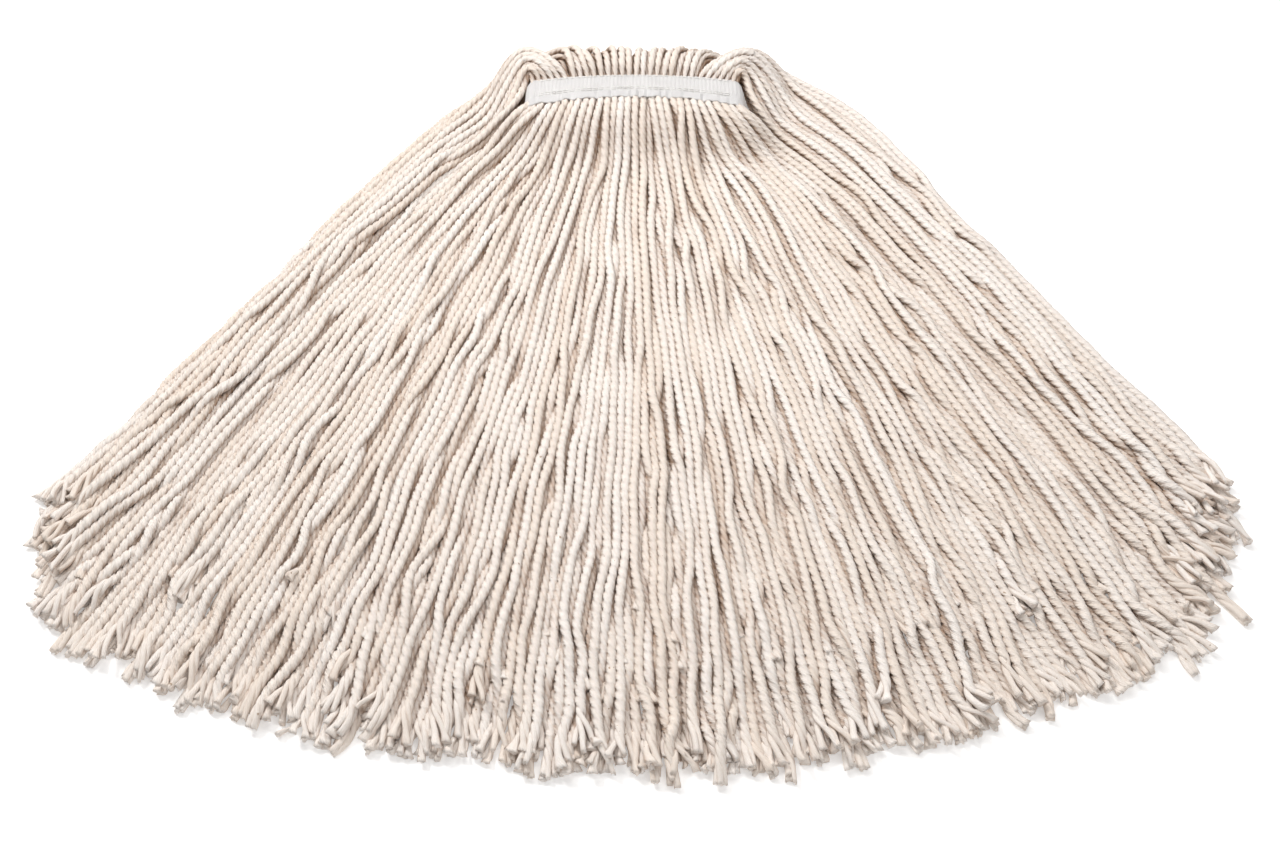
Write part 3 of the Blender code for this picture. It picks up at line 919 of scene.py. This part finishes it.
def add_stage():
    world = bpy.data.worlds.new("studio")
    world.use_nodes = True
    tree = world.node_tree
    direction = node(tree, "ShaderNodeTexCoord")
    split = node(tree, "ShaderNodeSeparateXYZ")
    tree.links.new(direction.outputs["Generated"], split.inputs[0])
    # Brightest at the horizon, like the cove behind a studio table
    height = node(tree, "ShaderNodeMapRange", inputs={1: 0.0, 2: 0.75, 3: 0.72, 4: 0.32})
    tree.links.new(split.outputs[2], height.inputs[0])
    sky = tree.nodes["Background"]
    sky.inputs[0].default_value = (1.0, 0.99, 0.98, 1)
    tree.links.new(height.outputs[0], sky.inputs[1])
    bpy.context.scene.world = world
    mesh = bpy.data.meshes.new("floor")
    reach = 40
    corners = [(-reach, -reach, 0), (reach, -reach, 0), (reach, reach, 0), (-reach, reach, 0)]
    mesh.from_pydata(corners, [], [(0, 1, 2, 3)])
    floor = bpy.data.objects.new("floor", mesh)
    bpy.context.scene.collection.objects.link(floor)
    material = bpy.data.materials.new("floor_white")
    material.use_nodes = True
    shader = material.node_tree.nodes["Principled BSDF"]
    shader.inputs["Base Color"].default_value = (0.93, 0.93, 0.93, 1)
    shader.inputs["Roughness"].default_value = 0.9
    shader.inputs["Specular IOR Level"].default_value = 0.1
    shader.inputs["Emission Color"].default_value = (1, 1, 1, 1)
    shader.inputs["Emission Strength"].default_value = 0.25
    mesh.materials.append(material)
    add_light("key", at(-1.0, 0.55, 1.5), at(0, -0.2, 0), 0.50, 21, (1.0, 0.985, 0.97))
    add_light("fill", at(0.9, -1.0, 1.6), at(0, -0.2, 0), 1.2, 5.5, (1.0, 1.0, 1.0))
    add_light("over_band", at(0.05, 0.0, 0.9), at(0, 0.02, 0), 0.6, 3.8, (1.0, 0.99, 0.98))
    bpy.context.scene.view_settings.view_transform = "Standard"


def sorted_side(yarns, side):
    """Indices of the yarns of one half, from left to right."""
    return sorted((k for k, yarn in enumerate(yarns) if yarn.side == side), key=lambda k: yarns[k].order)


def main():
    add_camera()
    add_stage()
    cotton, tape, thread = cotton_material(), tape_material(), thread_material()

    yarns = lay_yarns()
    path, radius = settle(yarns, 220)
    in_front = np.array([yarn.side == "front" for yarn in yarns])
    deep = refine(crowding(path, in_front), RINGS)
    path = refine(path, RINGS)
    radius = refine(radius[..., None], RINGS)[..., 0]
    _, side, up = frames(path)

    front, back = sorted_side(yarns, "front"), sorted_side(yarns, "back")
    tips = {k: np.hypot(*path[k, -1, :2]) for k in front}
    tones_and_shade = rng.random((len(yarns), 3))
    steps = [np.linalg.norm(np.diff(line, axis=0), axis=1) for line in path]
    along = [np.concatenate([[0], np.cumsum(step)]) for step in steps]

    def add(parts, k, first, last, frayed, splay=1.0):
        lines = (path[k], side[k], up[k], radius[k], along[k], tones_and_shade[k], deep[k])
        add_yarn(parts, *lines, frayed, first, last, 1000 + k, splay)

    def finish_strands(parts, name, body_a, body_b, start, end):
        """Builds a cotton piece from the collected yarns and bakes its transform into its mesh."""
        obj = parts.build(name, cotton)
        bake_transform(obj)
        return obj

    groups = ("front_left", "front_middle", "front_right")
    near_edge = ((-0.010, 0.03), (-0.035, 0.03))
    cords = 0
    for bundle in range(BUNDLES):
        number = f"{bundle + 1:02d}"
        body = groups[bundle * len(groups) // BUNDLES]
        own = slice(bundle * YARNS_A_BUNDLE, (bundle + 1) * YARNS_A_BUNDLE)

        # Front yarns: those that reach furthest are cords of their own
        furthest = sorted(front[own], key=lambda k: -tips[k])[:CORDS_A_BUNDLE]
        pieces = MeshParts()
        for k in front[own]:
            if k not in furthest:
                add(pieces, k, 0, RINGS - 1, True)
                continue
            cords += 1
            single = MeshParts()
            first = int(np.argmax(-path[k, :, 1] > BAND_HALF_WIDTH - 0.004))
            add(single, k, first, RINGS - 1, True, 0.2)
            cord = finish_strands(single, f"free_yarn_{cords:02d}", "headband", body, *near_edge)
        obj = finish_strands(pieces, f"front_strands_{number}", "headband", body, *near_edge)
        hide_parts(f"front_bundle_{number}", f"band_yarns_{number}")

        # Back yarns: the upper half of their turn-down, then the rest
        upper, lower = MeshParts(), MeshParts()
        for k in back[own]:
            furthest_back = int(np.argmax(path[k, :60, 1]))
            add(upper, k, 0, furthest_back + 1, False)
            add(lower, k, furthest_back, RINGS - 1, True)
        turn_down = ((0.020, 0.03), (0.030, 0.03))
        obj = finish_strands(upper, f"turn_strands_{number}", "headband", "fold", *turn_down)
        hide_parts(f"curl_yarns_{number}")
        turn_forward = ((0.030, 0.01), (0.020, 0.01))
        obj = finish_strands(lower, f"back_strands_{number}", "fold", "back_skirt", *turn_forward)
        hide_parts(f"back_bundle_{number}")

    webbing = build_tape(tape, lip_height(path, radius))
    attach(webbing, "headband")
    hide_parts("headband_tape")
    for row, y in STITCH_ROWS.items():
        for which, face in (("needle", 1), ("bobbin", -1)):
            obj = build_stitches(f"{row}_{which}_stitches", y, face, thread)
            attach(obj, "headband")
            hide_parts(f"{row}_{which}_thread")


main()
